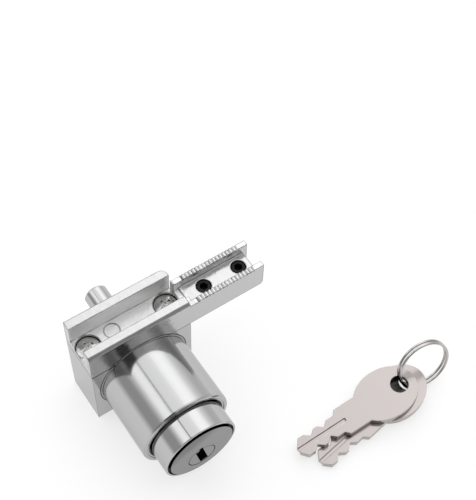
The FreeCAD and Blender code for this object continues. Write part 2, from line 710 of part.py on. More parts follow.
def make_return_spring():
    wire = size("return_wire")
    gap = size("spring_end_gap")
    front = size("boss_rear") + gap
    rear = size("block_bore_end") - gap
    turns = size("return_turns")
    pitch = (rear - front - wire) / (turns + wire / (math.pi * size("return_spring_radius")))
    middle = FreeCAD.Vector(0, (front + rear) / 2, size("axis_height"))
    lie_along_y = FreeCAD.Rotation(FreeCAD.Vector(1, 0, 0), -90)
    return wound_wire("return_spring", size("return_spring_radius"), pitch, turns, wire,
                      FreeCAD.Placement(middle, lie_along_y))


def make_tongue_spring():
    wire = size("tongue_wire")
    gap = size("spring_end_gap")
    low = size("tongue_way_foot") + gap
    high = size("tongue_foot") - gap
    turns = size("tongue_spring_turns")
    pitch = (high - low - wire) / (turns + wire / (math.pi * size("tongue_spring_radius")))
    middle = FreeCAD.Vector(0, (size("tongue_front") + size("tongue_rear")) / 2,
                            size("axis_height") + (low + high) / 2)
    return wound_wire("tongue_spring", size("tongue_spring_radius"), pitch, turns, wire,
                      FreeCAD.Placement(middle, FreeCAD.Rotation()))


# Keys and their ring

def draw_bow(sketch):
    long_half = size("bow_length") / 2
    wide_half = size("bow_width") / 2
    centre = FreeCAD.Vector(0, 0, 0)
    oval = Part.Ellipse(FreeCAD.Vector(long_half, 0, 0), FreeCAD.Vector(0, wide_half, 0), centre)
    item = sketch.addGeometry(oval)
    sketch.exposeInternalGeometry(item)
    sketch.addConstraint(Sketcher.Constraint("Coincident", item, 3, -1, 1))
    sketch.addConstraint(Sketcher.Constraint("Horizontal", item + 1))
    for line, value in ((item + 1, "bow_length"), (item + 2, "bow_width")):
        span = sketch.addConstraint(Sketcher.Constraint("Distance", line, size(value)))
        sketch.setExpression("Constraints[%d]" % span, bound(value))


def make_key(label, placement):
    body = doc.addObject("PartDesign::Body", label)
    body.Label = label
    grow(body, label + "_bow", "z", "0", "key_thick", draw_bow)
    upper = [("neck_end", "neck_half_width"), ("blade_start", "blade_half_width"),
             ("first_cut_start", "blade_half_width"), ("first_cut_end", "cut_half_width"),
             ("tooth_start", "blade_half_width"), ("tooth_end", "blade_half_width"),
             ("second_cut", "cut_half_width"), ("head_start", "blade_half_width"),
             ("head_end", "blade_half_width"), ("key_tip", "key_tip_half_width")]
    lower = [(place, "-" + half) for place, half in reversed(upper)]
    shaft = [("bow_hole_x + bow_hole_radius + 4", "-neck_half_width"),
             ("bow_hole_x + bow_hole_radius + 4", "neck_half_width")] + upper + lower
    grow(body, label + "_shaft", "z", "0", "key_thick", lambda sketch: polygon(sketch, shaft))
    cut(body, label + "_hole", "z", "-1", "key_thick + 1",
        lambda sketch: circle(sketch, "bow_hole_x", "0", "bow_hole_radius"))
    for side, low, high in (("top", "key_thick - key_groove_depth", "key_thick + 1"),
                            ("under", "-1", "key_groove_depth")):
        cut(body, "%s_groove_%s" % (label, side), "z", low, high,
            lambda sketch: rectangle(sketch, "key_groove_start", "key_tip + 1",
                                     "-key_groove_half_width", "key_groove_half_width"))
    body.Placement = placement
    nodes.append(body)
    return body


def make_keys():
    # the tip of the lower key rests on the table and the ring lifts both bows
    hole = FreeCAD.Vector(size("lower_hole_x"), size("lower_hole_y"), size("lower_hole_z"))
    to_hole = FreeCAD.Vector(size("bow_hole_x"), 0, 0)
    lying = FreeCAD.Rotation(size("lower_key_angle"), size("key_slope_angle"), 0)
    fanned = lying.multiply(FreeCAD.Rotation(size("upper_key_angle"), 0, 0))
    shift = lying.multVec(FreeCAD.Vector(size("upper_key_along"), size("upper_key_across"),
                                         size("key_thick + key_stack_gap")))
    make_key("key_lower", FreeCAD.Placement(hole - lying.multVec(to_hole), lying))
    make_key("key_upper", FreeCAD.Placement(hole + shift - fanned.multVec(to_hole), fanned))


def make_key_ring():
    centre = FreeCAD.Vector(size("ring_centre_x"), size("ring_centre_y"), size("ring_centre_z"))
    leaning = FreeCAD.Rotation(size("ring_turned_angle"), 90 - size("ring_lean_angle"), 0)
    return wound_wire("key_ring", size("ring_radius"), size("ring_turn_spacing"), size("ring_turns"),
                      size("ring_wire"), FreeCAD.Placement(centre, leaning), size("ring_first_angle"))


make_lock_body()
make_glass_bracket()
for side in ("left", "right"):
    make_bracket_screw(side)
for side in ("inner", "outer"):
    make_clamp_screw(side)
make_travel_stop_screw()
make_push_cylinder()
make_face_disc()
make_bolt_pin()
make_return_spring()
make_key_plug()
make_plug_cam()
for number in range(1, 6):
    make_wafer(number)
make_locking_tongue()
make_tongue_spring()
make_keys()
make_key_ring()
doc.recompute()

for item in doc.Objects:
    if "Invalid" in item.State or "Error" in item.State:
        raise RuntimeError(item.Name + " did not build")

os.makedirs("parts", exist_ok=True)
for node in nodes:
    if node.Shape.isNull() or not node.Shape.isValid():
        raise RuntimeError(node.Label + " has no valid shape")
    node.Shape.exportStep("parts/%s.step" % node.Label)
    box = node.Shape.BoundBox
    print(node.Label, "solids", len(node.Shape.Solids), "volume", round(node.Shape.Volume, 1),
          "X %.2f %.2f Y %.2f %.2f Z %.2f %.2f" % (box.XMin, box.XMax, box.YMin, box.YMax,
                                                   box.ZMin, box.ZMax))
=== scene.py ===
import bmesh
import bpy
import json
import math
from mathutils import Matrix, Vector


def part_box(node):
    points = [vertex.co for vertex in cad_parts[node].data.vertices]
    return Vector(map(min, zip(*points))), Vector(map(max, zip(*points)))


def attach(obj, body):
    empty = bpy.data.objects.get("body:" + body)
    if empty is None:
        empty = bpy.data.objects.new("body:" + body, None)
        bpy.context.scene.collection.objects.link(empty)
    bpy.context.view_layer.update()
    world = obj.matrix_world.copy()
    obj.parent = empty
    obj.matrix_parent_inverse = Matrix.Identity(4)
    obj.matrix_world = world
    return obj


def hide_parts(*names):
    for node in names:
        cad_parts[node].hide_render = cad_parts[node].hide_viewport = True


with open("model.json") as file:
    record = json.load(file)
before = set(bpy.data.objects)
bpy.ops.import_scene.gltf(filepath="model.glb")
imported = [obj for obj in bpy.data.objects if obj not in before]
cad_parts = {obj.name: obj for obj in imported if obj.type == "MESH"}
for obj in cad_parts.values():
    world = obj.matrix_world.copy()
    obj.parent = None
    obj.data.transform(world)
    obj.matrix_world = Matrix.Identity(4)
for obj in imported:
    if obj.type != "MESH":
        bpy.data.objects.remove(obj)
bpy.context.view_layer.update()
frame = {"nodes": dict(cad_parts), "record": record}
nodes = frame["nodes"]
print("frame loaded with", len(nodes), "nodes")

millimetre = 0.001

# camera of the photograph: place in metres, turns in degrees, image in pixels
view = {
    "place": (-0.06387, -0.13359, 0.28138), "azimuth": -36.59, "elevation": 56.01, "roll": 2.87,
    "focalPixels": 1088.15, "imageHeight": 500, "sensor": 36.0,
}


def addCamera():
    azimuth = math.radians(view["azimuth"])
    elevation = math.radians(view["elevation"])
    roll = math.radians(view["roll"])
    back = Vector((math.sin(azimuth) * math.cos(elevation), -math.cos(azimuth) * math.cos(elevation),
                   math.sin(elevation)))
    level = Vector((0, 0, 1)).cross(back).normalized()
    rise = back.cross(level)
    right = level * math.cos(roll) + rise * math.sin(roll)
    up = rise * math.cos(roll) - level * math.sin(roll)
    lens = bpy.data.cameras.new("photoCamera")
    lens.sensor_width = view["sensor"]
    lens.lens = view["sensor"] * view["focalPixels"] / view["imageHeight"]
    lens.clip_start = 0.01
    lens.clip_end = 20
    camera = bpy.data.objects.new("photoCamera", lens)
    turned = Matrix((right, up, back)).transposed().to_4x4()
    camera.matrix_world = Matrix.Translation(Vector(view["place"])) @ turned
    bpy.context.scene.collection.objects.link(camera)
    bpy.context.scene.camera = camera


# Node helpers

def addNode(tree, kind, inputs=None, **settings):
    node = tree.nodes.new(kind)
    for name, value in settings.items():
        setattr(node, name, value)
    for name, value in (inputs or {}).items():
        if isinstance(value, bpy.types.NodeSocket):
            tree.links.new(value, node.inputs[name])
        else:
            node.inputs[name].default_value = value
    return node


def addRamp(tree, factor, stops):
    # stops are (place, grey)
    ramp = addNode(tree, "ShaderNodeValToRGB", {"Fac": factor})
    ramp.color_ramp.interpolation = "LINEAR"
    marks = ramp.color_ramp.elements
    while len(marks) < len(stops):
        marks.new(0.5)
    for mark, (place, level) in zip(marks, stops):
        mark.position = place
        mark.color = (level, level, level, 1)
    return ramp.outputs["Color"]


def addMath(tree, operation, first, second=0.0, clamp=False):
    node = addNode(tree, "ShaderNodeMath", operation=operation, use_clamp=clamp)
    for socket, value in zip(node.inputs, (first, second)):
        if isinstance(value, bpy.types.NodeSocket):
            tree.links.new(value, socket)
        else:
            socket.default_value = value
    return node.outputs[0]


def mixColours(tree, factor, first, second, blend="MIX"):
    node = addNode(tree, "ShaderNodeMix", data_type="RGBA", blend_type=blend)
    for socket, value in ((node.inputs[0], factor), (node.inputs[6], first), (node.inputs[7], second)):
        if isinstance(value, bpy.types.NodeSocket):
            tree.links.new(value, socket)
        else:
            socket.default_value = (*value, 1) if isinstance(value, tuple) else value
    return node.outputs[2]


def newMaterial(name):
    material = bpy.data.materials.new(name)
    material.use_nodes = True
    material.node_tree.nodes.clear()
    return material, material.node_tree


def finishMaterial(tree, shader):
    addNode(tree, "ShaderNodeOutputMaterial", {"Surface": shader})


# Studio: strip lights overhead that run along the barrel, a darker side where the photographer stands

studio = {
    "stripLights": [(-1.0, 0.47), (-0.78, 0.47), (-0.72, 0.71), (-0.66, 1.0), (-0.59, 1.45), (-0.51, 1.58),
                    (-0.43, 1.58), (-0.36, 1.45), (-0.33, 1.35), (-0.31, 0.3), (-0.29, 0.3), (-0.27, 1.27),
                    (-0.16, 1.3), (0.03, 1.32), (0.13, 1.4), (0.22, 1.57), (0.31, 1.71), (0.40, 1.82),
                    (0.56, 1.74), (0.64, 1.51), (0.70, 1.23), (0.76, 1.05), (0.81, 0.93), (0.85, 0.79),
                    (1.0, 0.75)],
    "frontLevel": 0.2, "frontStart": -0.1, "frontEnd": -0.7,
    "photographer": (-0.44, -0.45, 0.78), "photographerSize": (0.955, 0.975), "photographerLevel": 0.06,
    "horizon": 0.9, "horizonEnd": 0.22,
    "floorSize": 4.0, "floorColour": 0.35, "floorGlow": 0.68,
}


def addWorld():
    world = bpy.data.worlds.new("studio")
    bpy.context.scene.world = world
    world.use_nodes = True
    tree = world.node_tree
    direction = addNode(tree, "ShaderNodeTexCoord").outputs["Generated"]
    split = addNode(tree, "ShaderNodeSeparateXYZ", {"Vector": direction})
    across = addNode(tree, "ShaderNodeMapRange", {"Value": split.outputs["X"], "From Min": -1, "From Max": 1})
    strips = addRamp(tree, across.outputs[0],
                     [((place + 1) / 2, level / 2) for place, level in studio["stripLights"]])
    front = addNode(tree, "ShaderNodeMapRange", {
        "Value": split.outputs["Y"], "From Min": studio["frontEnd"], "From Max": studio["frontStart"],
        "To Min": 2 * studio["frontLevel"], "To Max": 2.0}, interpolation_type="SMOOTHSTEP")
    spot = addNode(tree, "ShaderNodeVectorMath", {0: direction}, operation="DOT_PRODUCT")
    spot.inputs[1].default_value = Vector(studio["photographer"]).normalized()
    low, high = studio["photographerSize"]
    shade = addNode(tree, "ShaderNodeMapRange", {
        "Value": spot.outputs["Value"], "From Min": low, "From Max": high,
        "To Min": 1.0, "To Max": studio["photographerLevel"]}, interpolation_type="SMOOTHSTEP")
    level = addMath(tree, "MULTIPLY", front.outputs[0], shade.outputs[0])
    lights = mixColours(tree, 1.0, strips, level, "MULTIPLY")
    rise = addNode(tree, "ShaderNodeMapRange", {
        "Value": split.outputs["Z"], "From Min": 0.0, "From Max": studio["horizonEnd"]},
        interpolation_type="SMOOTHSTEP")
    horizon = mixColours(tree, rise.outputs[0], (studio["horizon"],) * 3, lights)
    tree.links.new(horizon, tree.nodes["Background"].inputs["Color"])


def addFloor():
    half = studio["floorSize"] / 2
    mesh = bpy.data.meshes.new("studioFloor")
    mesh.from_pydata([(-half, -half, 0), (half, -half, 0), (half, half, 0), (-half, half, 0)], [],
                     [(0, 1, 2, 3)])
    floor = bpy.data.objects.new("studioFloor", mesh)
    bpy.context.scene.collection.objects.link(floor)
    material, tree = newMaterial("paleFloor")
    colour = (studio["floorColour"],) * 3 + (1,)
    matt = addNode(tree, "ShaderNodeBsdfDiffuse", {"Color": colour})
    rays = addNode(tree, "ShaderNodeLightPath")
    seen = addMath(tree, "ADD", rays.outputs["Is Camera Ray"], rays.outputs["Is Glossy Ray"], clamp=True)
    seen = addMath(tree, "ADD", seen, rays.outputs["Is Transmission Ray"], clamp=True)
    strength = addMath(tree, "MULTIPLY", seen, studio["floorGlow"])
    glow = addNode(tree, "ShaderNodeEmission", {"Strength": strength})
    both = addNode(tree, "ShaderNodeAddShader", {0: matt.outputs[0], 1: glow.outputs[0]})
    finishMaterial(tree, both.outputs[0])
    mesh.materials.append(material)


addCamera()
addWorld()
addFloor()
bpy.context.scene.view_settings.view_transform = "Standard"
print("camera, studio and floor ready")


# Shared effects

def newGroup(name, inputs, outputs):
    # inputs and outputs are (name, kind, value)
    group = bpy.data.node_groups.new(name, "ShaderNodeTree")
    for label, kind, value in inputs:
        socket = group.interface.new_socket(label, in_out="INPUT", socket_type="NodeSocket" + kind)
        if value is not None:
            socket.default_value = value
    for label, kind in outputs:
        group.interface.new_socket(label, in_out="OUTPUT", socket_type="NodeSocket" + kind)
    return group, group.nodes.new("NodeGroupInput"), group.nodes.new("NodeGroupOutput")


castDetail = {
    "waveDetail": 2.0, "waveRoughness": 0.45, "scratchStretch": (300.0, 4000.0, 2500.0),
    "scratchTurn": (0.4, 0.7, 0.9), "scratchDetail": 3.0, "grainSize": 900.0, "grainDetail": 4.0,
    "speckSize": 420.0, "speckFull": 0.04, "speckEnd": 0.13,
}


def makeCastSurface():
    # slow waves of a polished casting, with fine specks and hairline scratches
    group, given, result = newGroup("castSurface", [
        ("Wave Size", "Float", 160.0), ("Wave Depth", "Float", 1.0), ("Scratch Depth", "Float", 0.1),
        ("Roughness", "Float", 0.14), ("Roughness Spread", "Float", 0.08)],
        [("Height", "Float"), ("Roughness", "Float"), ("Specks", "Float")])
    place = addNode(group, "ShaderNodeTexCoord").outputs["Object"]
    wave = addNode(group, "ShaderNodeTexNoise", {
        "Vector": place, "Scale": given.outputs["Wave Size"], "Detail": castDetail["waveDetail"],
        "Roughness": castDetail["waveRoughness"]})
    stretched = addNode(group, "ShaderNodeMapping", {
        "Vector": place, "Scale": castDetail["scratchStretch"], "Rotation": castDetail["scratchTurn"]})
    scratch = addNode(group, "ShaderNodeTexNoise", {
        "Vector": stretched.outputs[0], "Scale": 1.0, "Detail": castDetail["scratchDetail"]})
    lines = addMath(group, "MULTIPLY", scratch.outputs["Fac"], given.outputs["Scratch Depth"])
    height = addMath(group, "ADD", addMath(group, "MULTIPLY", wave.outputs["Fac"],
                                           given.outputs["Wave Depth"]), lines)
    grain = addNode(group, "ShaderNodeTexNoise", {
        "Vector": place, "Scale": castDetail["grainSize"], "Detail": castDetail["grainDetail"]})
    rough = addMath(group, "MULTIPLY", addMath(group, "SUBTRACT", grain.outputs["Fac"], 0.5),
                    given.outputs["Roughness Spread"])
    rough = addMath(group, "ADD", rough, given.outputs["Roughness"])
    dots = addNode(group, "ShaderNodeTexVoronoi", {"Vector": place, "Scale": castDetail["speckSize"]})
    specks = addNode(group, "ShaderNodeMapRange", {
        "Value": dots.outputs["Distance"], "From Min": castDetail["speckFull"],
        "From Max": castDetail["speckEnd"], "To Min": 1.0, "To Max": 0.0})
    for label, value in (("Height", height), ("Roughness", rough), ("Specks", specks.outputs[0])):
        group.links.new(value, result.inputs[label])
    return group


# how far the normals turn at an edge for the painted edge light, and how unevenly that painted light runs
# along the edge
unevenEdgeLight = {
    "turned": 0.9, "flat": 0.998, "size": 380.0, "detail": 2.0, "low": 0.35, "high": 0.6, "least": 0.45,
}


def makeEdgeRounding():
    # normals turned smoothly over each edge, and a mask of where the edges are, for the painted edge light
    group, given, result = newGroup("edgeRounding", [("Radius", "Float", 0.0003)],
                                    [("Normal", "Vector"), ("Edge", "Float")])
    bevel = addNode(group, "ShaderNodeBevel", {"Radius": given.outputs["Radius"]}, samples=6)
    plain = addNode(group, "ShaderNodeNewGeometry").outputs["Normal"]
    close = addNode(group, "ShaderNodeVectorMath", {0: bevel.outputs[0], 1: plain}, operation="DOT_PRODUCT")
    mask = addNode(group, "ShaderNodeMapRange", {
        "Value": close.outputs["Value"], "From Min": unevenEdgeLight["turned"], "From Max": unevenEdgeLight["flat"],
        "To Min": 1.0, "To Max": 0.0})
    group.links.new(bevel.outputs[0], result.inputs["Normal"])
    place = addNode(group, "ShaderNodeTexCoord").outputs["Object"]
    wearAndPaintedLight = addNode(group, "ShaderNodeTexNoise", {
        "Vector": place, "Scale": unevenEdgeLight["size"], "Detail": unevenEdgeLight["detail"]})
    uneven = addNode(group, "ShaderNodeMapRange", {
        "Value": wearAndPaintedLight.outputs["Fac"], "From Min": unevenEdgeLight["low"], "From Max": unevenEdgeLight["high"],
        "To Min": unevenEdgeLight["least"], "To Max": 1.0})
    edge = addMath(group, "MULTIPLY", mask.outputs[0], uneven.outputs[0])
    group.links.new(edge, result.inputs["Edge"])
    return group


def makeCreviceShade():
    # painted shade: how far a spot lies down in a gap, a recess or a corner, as a share of darkness for the
    # base colour
    group, given, result = newGroup("creviceShade", [
        ("Reach", "Float", 0.001), ("Dark Below", "Float", 0.15), ("Clear Above", "Float", 0.6),
        ("Depth", "Float", 0.5)], [("Painted Shade", "Float")])
    openness = addNode(group, "ShaderNodeAmbientOcclusion", {"Distance": given.outputs["Reach"]}, samples=8)
    shut = addNode(group, "ShaderNodeMapRange", {
        "Value": openness.outputs["AO"], "From Min": given.outputs["Dark Below"],
        "From Max": given.outputs["Clear Above"], "To Min": 1.0, "To Max": 0.0},
        interpolation_type="SMOOTHSTEP")
    paintedShade = addMath(group, "MULTIPLY", shut.outputs[0], given.outputs["Depth"])
    group.links.new(paintedShade, result.inputs["Painted Shade"])
    return group


def makeSeam():
    # the parting line between the block and its bracket: an arch over the barrel, then level on the left
    group, given, result = newGroup("seam", [
        ("Arch Radius", "Float", 0.01372), ("Axis Height", "Float", 0.0133), ("Level", "Float", 0.0234),
        ("Front", "Float", -0.0072), ("Lip Rear", "Float", -0.0045), ("Half Width", "Float", 0.00022)],
        [("Line", "Float")])
    place = addNode(group, "ShaderNodeTexCoord").outputs["Object"]
    split = addNode(group, "ShaderNodeSeparateXYZ", {"Vector": place})
    above = addMath(group, "SUBTRACT", split.outputs["Z"], given.outputs["Axis Height"])
    reach = addMath(group, "SQRT", addMath(group, "ADD", addMath(group, "POWER", split.outputs["X"], 2.0),
                                           addMath(group, "POWER", above, 2.0)))
    behind = addMath(group, "GREATER_THAN", split.outputs["Y"], given.outputs["Front"])
    onLip = addMath(group, "LESS_THAN", split.outputs["Y"], given.outputs["Lip Rear"])
    onLeft = addMath(group, "LESS_THAN", split.outputs["X"], 0.0)
    lines = []
    for value, middle, side in ((reach, "Arch Radius", onLip), (split.outputs["Z"], "Level", onLeft)):
        away = addMath(group, "ABSOLUTE", addMath(group, "SUBTRACT", value, given.outputs[middle]))
        near = addNode(group, "ShaderNodeMapRange", {
            "Value": away, "From Min": addMath(group, "MULTIPLY", given.outputs["Half Width"], 0.5),
            "From Max": given.outputs["Half Width"], "To Min": 1.0, "To Max": 0.0})
        lines.append(addMath(group, "MULTIPLY", near.outputs[0], side))
    line = addMath(group, "MULTIPLY", addMath(group, "MAXIMUM", *lines), behind)
    group.links.new(line, result.inputs["Line"])
    return group


# the channel's inside as a box, and where the arm's teeth start along x and up z
roughPlaces = {
    "middle": (0.0001, 0.0002, 0.0299), "half": {"X": 0.0174, "Y": 0.0052, "Z": 0.0034},
    "armStart": 0.0172, "teethStart": 0.0319, "grainDetail": 3.0, "grainRoughness": 0.6,
}


def makeRoughChannel():
    # the unpolished inside of the glass channel and the arm's teeth: a mask for their roughness and grain,
    # which also paints them lighter
    group, given, result = newGroup("roughChannel", [("Grain Size", "Float", 1300.0)],
                                    [("Inside", "Float"), ("Grain", "Float")])
    place = addNode(group, "ShaderNodeTexCoord").outputs["Object"]
    middle = addNode(group, "ShaderNodeVectorMath", {0: place, 1: roughPlaces["middle"]},
                     operation="SUBTRACT")
    away = addNode(group, "ShaderNodeVectorMath", {0: middle.outputs[0]}, operation="ABSOLUTE")
    split = addNode(group, "ShaderNodeSeparateXYZ", {"Vector": away.outputs[0]})
    inside = None
    for axis, half in roughPlaces["half"].items():
        near = addMath(group, "LESS_THAN", split.outputs[axis], half)
        inside = near if inside is None else addMath(group, "MULTIPLY", inside, near)
    whole = addNode(group, "ShaderNodeSeparateXYZ", {"Vector": place})
    onArm = addMath(group, "GREATER_THAN", whole.outputs["X"], roughPlaces["armStart"])
    onTeeth = addMath(group, "GREATER_THAN", whole.outputs["Z"], roughPlaces["teethStart"])
    teeth = addMath(group, "MULTIPLY", onArm, onTeeth)
    inside = addMath(group, "MAXIMUM", inside, teeth)
    grain = addNode(group, "ShaderNodeTexNoise", {
        "Vector": place, "Scale": given.outputs["Grain Size"], "Detail": roughPlaces["grainDetail"],
        "Roughness": roughPlaces["grainRoughness"]})
    group.links.new(inside, result.inputs["Inside"])
    group.links.new(addMath(group, "MULTIPLY", inside, grain.outputs["Fac"]), result.inputs["Grain"])
    return group


# painted shade under the disc's upper left edge: noise size and detail, its spread, where the shade starts
# and is full, and the margin of the dark side
discShadeBand = {
    "size": 260.0, "detail": 2.0, "spread": 0.003, "start": 0.0035, "end": 0.0085, "sideMargin": 0.00004,
}


def makeDiscShade():
    # painted shade: the dark gap round the disc's side, and the shade under its upper left edge, made uneven
    # by noise
    group, given, result = newGroup("discShade", [
        ("Middle", "Vector", (0.0, -0.0357, 0.0133)), ("Towards", "Vector", (-0.45, 0.0, 0.89)),
        ("Radius", "Float", 0.0097), ("Shade", "Float", 0.4)], [("Dark", "Float")])
    place = addNode(group, "ShaderNodeTexCoord").outputs["Object"]
    away = addNode(group, "ShaderNodeVectorMath", {0: place, 1: given.outputs["Middle"]},
                   operation="SUBTRACT")
    flat = addNode(group, "ShaderNodeVectorMath", {0: away.outputs[0], 1: (1.0, 0.0, 1.0)},
                   operation="MULTIPLY")
    reach = addNode(group, "ShaderNodeVectorMath", {0: flat.outputs[0]}, operation="LENGTH")
    side = addMath(group, "GREATER_THAN", reach.outputs["Value"],
                   addMath(group, "SUBTRACT", given.outputs["Radius"], discShadeBand["sideMargin"]))
    upper = addNode(group, "ShaderNodeVectorMath", {0: flat.outputs[0], 1: given.outputs["Towards"]},
                    operation="DOT_PRODUCT")
    shadeNoise = addNode(group, "ShaderNodeTexNoise", {
        "Vector": place, "Scale": discShadeBand["size"], "Detail": discShadeBand["detail"]})
    uneven = addMath(group, "MULTIPLY", addMath(group, "SUBTRACT", shadeNoise.outputs["Fac"], 0.5),
                     discShadeBand["spread"])
    shade = addNode(group, "ShaderNodeMapRange", {
        "Value": addMath(group, "ADD", upper.outputs["Value"], uneven), "From Min": discShadeBand["start"],
        "From Max": discShadeBand["end"], "To Max": given.outputs["Shade"]}, interpolation_type="SMOOTHSTEP")
    group.links.new(addMath(group, "MAXIMUM", side, shade.outputs[0]), result.inputs["Dark"])
    return group


def makeHoleShade():
    # the dark depth of the hole through both bows, below the upper key's face
    group, given, result = newGroup("holeShade", [
        ("Middle", "Vector", (0.0595, -0.0473, 0.0041)), ("Axis", "Vector", (-0.0655, -0.0098, 0.9978)),
        ("Radius", "Float", 0.00266), ("Top", "Float", 0.0017)], [("Dark", "Float")])
    place = addNode(group, "ShaderNodeTexCoord").outputs["Object"]
    away = addNode(group, "ShaderNodeVectorMath", {0: place, 1: given.outputs["Middle"]},
                   operation="SUBTRACT")
    tall = addNode(group, "ShaderNodeVectorMath", {0: away.outputs[0], 1: given.outputs["Axis"]},
                   operation="DOT_PRODUCT")
    wide = addNode(group, "ShaderNodeVectorMath", {0: away.outputs[0], 1: given.outputs["Axis"]},
                   operation="CROSS_PRODUCT")
    reach = addNode(group, "ShaderNodeVectorMath", {0: wide.outputs[0]}, operation="LENGTH")
    below = addMath(group, "LESS_THAN", tall.outputs["Value"], given.outputs["Top"])
    within = addMath(group, "LESS_THAN", reach.outputs["Value"], given.outputs["Radius"])
    dark = addMath(group, "MULTIPLY", below, within)
    group.links.new(dark, result.inputs["Dark"])
    return group


castSurface = makeCastSurface()
edgeRounding = makeEdgeRounding()
creviceShade = makeCreviceShade()
seam = makeSeam()
roughChannel = makeRoughChannel()
holeShade = makeHoleShade()
discShade = makeDiscShade()

# finishes: colours are linear, lengths in metres; painted shade in gaps and recesses is given as reach, dark
# below, clear above and depth; a positive edge share paints a highlight along the edges, a negative one
# paints shade;
# seam, hole, discShade and inside are shares of the effects that only some finishes have; the hole and disc
# shares paint shade, and the inside colour is painted light
finishes = {
    "body_chrome": {"colour": (0.50, 0.50, 0.505), "rim": 0.8, "rough": 0.125, "spread": 0.06, "wave": 120,
                    "depth": 0.5, "scratch": 0.02, "edge": 0.00032, "bump": 0.00005, "paintedEdgeLight": -0.6,
                    "speck": 0.1, "paintedShade": (0.001, 0.08, 0.5, 0.85), "seam": 0.9},
    "bracket_chrome": {"colour": (0.54, 0.54, 0.54), "rim": 0.85, "rough": 0.2, "spread": 0.14, "wave": 420,
                       "depth": 0.9, "scratch": 0.04, "edge": 0.0005, "bump": 0.0001, "paintedEdgeLight": -0.78,
                       "speck": 0.2, "paintedShade": (0.0008, 0.1, 0.5, 0.5), "seam": 0.9, "inside": 0.3,
                       "insidePaintedLight": (0.8, 0.8, 0.8)},
    "cylinder_chrome": {"colour": (0.50, 0.50, 0.505), "rim": 0.8, "rough": 0.08, "spread": 0.05, "wave": 90,
                        "depth": 0.3, "scratch": 0.02, "edge": 0.00025, "bump": 0.00004, "paintedEdgeLight": 0.2,
                        "speck": 0.08, "paintedShade": (0.001, 0.02, 0.2, 0.95)},
    "disc_chrome": {"colour": (0.30, 0.30, 0.30), "rim": 0.8, "rough": 0.24, "spread": 0.12, "wave": 160,
                    "depth": 1.0, "scratch": 0.06, "edge": 0.00015, "bump": 0.00006, "paintedEdgeLight": 0.2,
                    "speck": 0.15, "paintedShade": (0.001, 0.35, 0.85, 0.98), "discShade": 1.0},
    "bolt_chrome": {"colour": (0.50, 0.50, 0.50), "rim": 0.8, "rough": 0.1, "spread": 0.06, "wave": 150,
                    "depth": 0.3, "scratch": 0.04, "edge": 0.0003, "bump": 0.00004, "paintedEdgeLight": -0.35,
                    "speck": 0.1, "paintedShade": (0.001, 0.15, 0.6, 0.8)},
    "plug_chrome": {"colour": (0.32, 0.315, 0.31), "rim": 0.8, "rough": 0.26, "spread": 0.12, "wave": 300,
                    "depth": 0.5, "scratch": 0.06, "edge": 0.0002, "bump": 0.00005, "paintedEdgeLight": 0.4,
                    "speck": 0.2, "paintedShade": (0.006, 0.4, 0.9, 0.98)},
    "screw_steel": {"colour": (0.55, 0.55, 0.54), "rim": 0.8, "rough": 0.18, "spread": 0.15, "wave": 700,
                    "depth": 0.9, "scratch": 0.06, "edge": 0.0002, "bump": 0.0001, "paintedEdgeLight": 0.3,
                    "speck": 0.3, "paintedShade": (0.0005, 0.15, 0.6, 0.9)},
    "black_steel": {"colour": (0.008, 0.008, 0.009), "rim": 1.0, "rough": 0.42, "spread": 0.15, "wave": 500,
                    "depth": 0.5, "scratch": 0.05, "edge": 0.0002, "bump": 0.00005, "paintedEdgeLight": 0.0,
                    "speck": 0.0, "paintedShade": (0.001, 0.2, 0.7, 0.9), "metallic": 0.0, "specular": 0.2},
    "spring_steel": {"colour": (0.42, 0.42, 0.42), "rim": 0.8, "rough": 0.25, "spread": 0.1, "wave": 600,
                     "depth": 0.4, "scratch": 0.1, "edge": 0.0001, "bump": 0.00003, "paintedEdgeLight": 0.2,
                     "speck": 0.1, "paintedShade": (0.001, 0.15, 0.6, 0.5)},
    "brass": {"colour": (0.60, 0.42, 0.17), "rim": 0.9, "rough": 0.26, "spread": 0.14, "wave": 400,
              "depth": 0.5, "scratch": 0.1, "edge": 0.00015, "bump": 0.00005, "paintedEdgeLight": 0.4,
              "speck": 0.2, "paintedShade": (0.001, 0.15, 0.6, 0.6)},
    "key_nickel": {"colour": (0.42, 0.385, 0.375), "rim": 0.9, "rough": 0.2, "spread": 0.05, "wave": 200,
                   "depth": 0.4, "scratch": 0.03, "edge": 0.0003, "bump": 0.00005, "paintedEdgeLight": 0.9,
                   "speck": 0.08, "paintedShade": (0.0007, 0.3, 0.75, 0.95), "hole": 0.93},
    "ring_nickel": {"colour": (0.52, 0.50, 0.49), "rim": 0.8, "rough": 0.1, "spread": 0.05, "wave": 300,
                    "depth": 0.2, "scratch": 0.05, "edge": 0.0001, "bump": 0.00003, "paintedEdgeLight": 0.2,
                    "speck": 0.1, "paintedShade": (0.001, 0.2, 0.7, 0.6), "hole": 0.8},
}


# the cap of the painted edge highlight, the specks' dull share, the seam's colour and the colour of painted
# shade
wearAndPaintedLight = {"brightest": 0.95, "dull": 0.55, "seamColour": (0.02, 0.02, 0.02), "paintedShadeColour": (0.01, 0.01, 0.01)}


